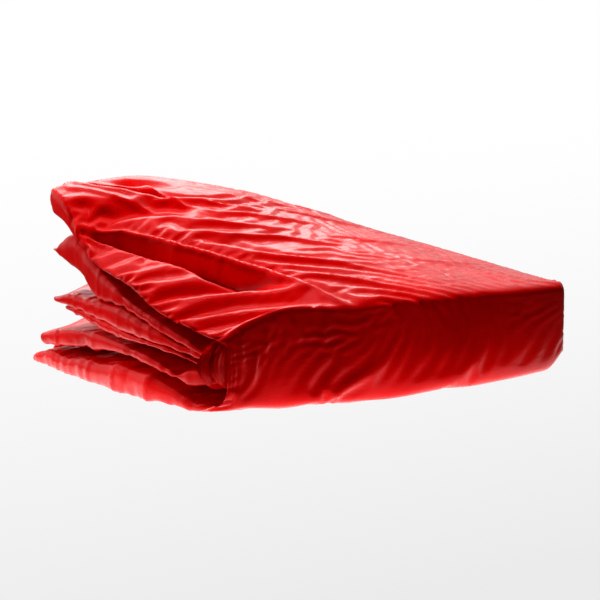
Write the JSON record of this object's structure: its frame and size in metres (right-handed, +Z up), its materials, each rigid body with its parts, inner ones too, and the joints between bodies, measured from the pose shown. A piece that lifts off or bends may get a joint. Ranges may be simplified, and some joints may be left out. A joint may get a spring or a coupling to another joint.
{
  "type": "kayak spray skirt",
  "caption": "Waterproof cockpit cover with a waist tunnel, elastic hem and release loop, folded flat into a soft block.",
  "frame": {"origin": "on the floor, under the middle of the folded bundle", "axes": "+X along the centreline fold, from the fanned amidships fold to the bow and stern tips; +Y from the centreline fold to the loose hem edges; +Z up"},
  "size_m": [0.4196, 0.3402, 0.1596],
  "materials": {
    "deck_cloth": "glossy coated nylon",
    "tunnel_cloth": "glossy coated nylon",
    "hem_cloth": "coated nylon, gathered",
    "shock_cord": "braided cover",
    "elastic": "ribbed elastic",
    "webbing": "woven webbing",
    "hook_and_loop": "napped tape"
  },
  "bodies": {
    "port_half": {"rear_deck_port": "deck_cloth", "tunnel_port": "tunnel_cloth", "front_deck_port": "deck_cloth", "waistband_port": "tunnel_cloth", "waist_elastic_port": "elastic", "rear_hem_sleeve_port": "hem_cloth", "rear_hem_cord_port": "shock_cord", "front_hem_sleeve_port": "hem_cloth", "front_hem_cord_port": "shock_cord"},
    "centre_fold": {"rear_deck_centre": "deck_cloth", "tunnel_centre": "tunnel_cloth", "front_deck_centre": "deck_cloth", "waistband_centre": "tunnel_cloth", "stern_hem_sleeve": "hem_cloth", "stern_hem_cord": "shock_cord", "bow_hem_sleeve": "hem_cloth", "bow_hem_cord": "shock_cord", "grab_loop_anchor": "webbing"},
    "starboard_half": {"rear_deck_starboard": "deck_cloth", "tunnel_starboard": "tunnel_cloth", "front_deck_starboard": "deck_cloth", "waistband_starboard": "tunnel_cloth", "waist_elastic_starboard": "elastic", "waist_hook_tab": "hook_and_loop", "waist_loop_patch": "hook_and_loop", "rear_hem_sleeve_starboard": "hem_cloth", "rear_hem_cord_starboard": "shock_cord", "front_hem_sleeve_starboard": "hem_cloth", "front_hem_cord_starboard": "shock_cord"},
    "release_loop": {"grab_loop": "webbing", "grab_loop_bar_tack": "webbing"}
  },
  "joints": [
    {"name": "spine_fold", "type": "hinge", "parent": "port_half", "child": "centre_fold", "pos_m": [-0.00827, -0.17009, 0.003], "axis": [1, 0, 0], "range_deg": [0, 90]},
    {"name": "top_fold", "type": "hinge", "parent": "centre_fold", "child": "starboard_half", "pos_m": [-0.00827, -0.17009, 0.082], "axis": [1, 0, 0], "range_deg": [0, 72]},
    {"name": "grab_loop_swing", "type": "hinge", "parent": "centre_fold", "child": "release_loop", "pos_m": [0.18863, -0.14209, 0.03835], "axis": [0, 0, -1], "range_deg": [0, 100]}
  ],
  "couplings": [
    {"joint": "top_fold", "follows": "spine_fold", "ratio": 0.8}
  ]
}
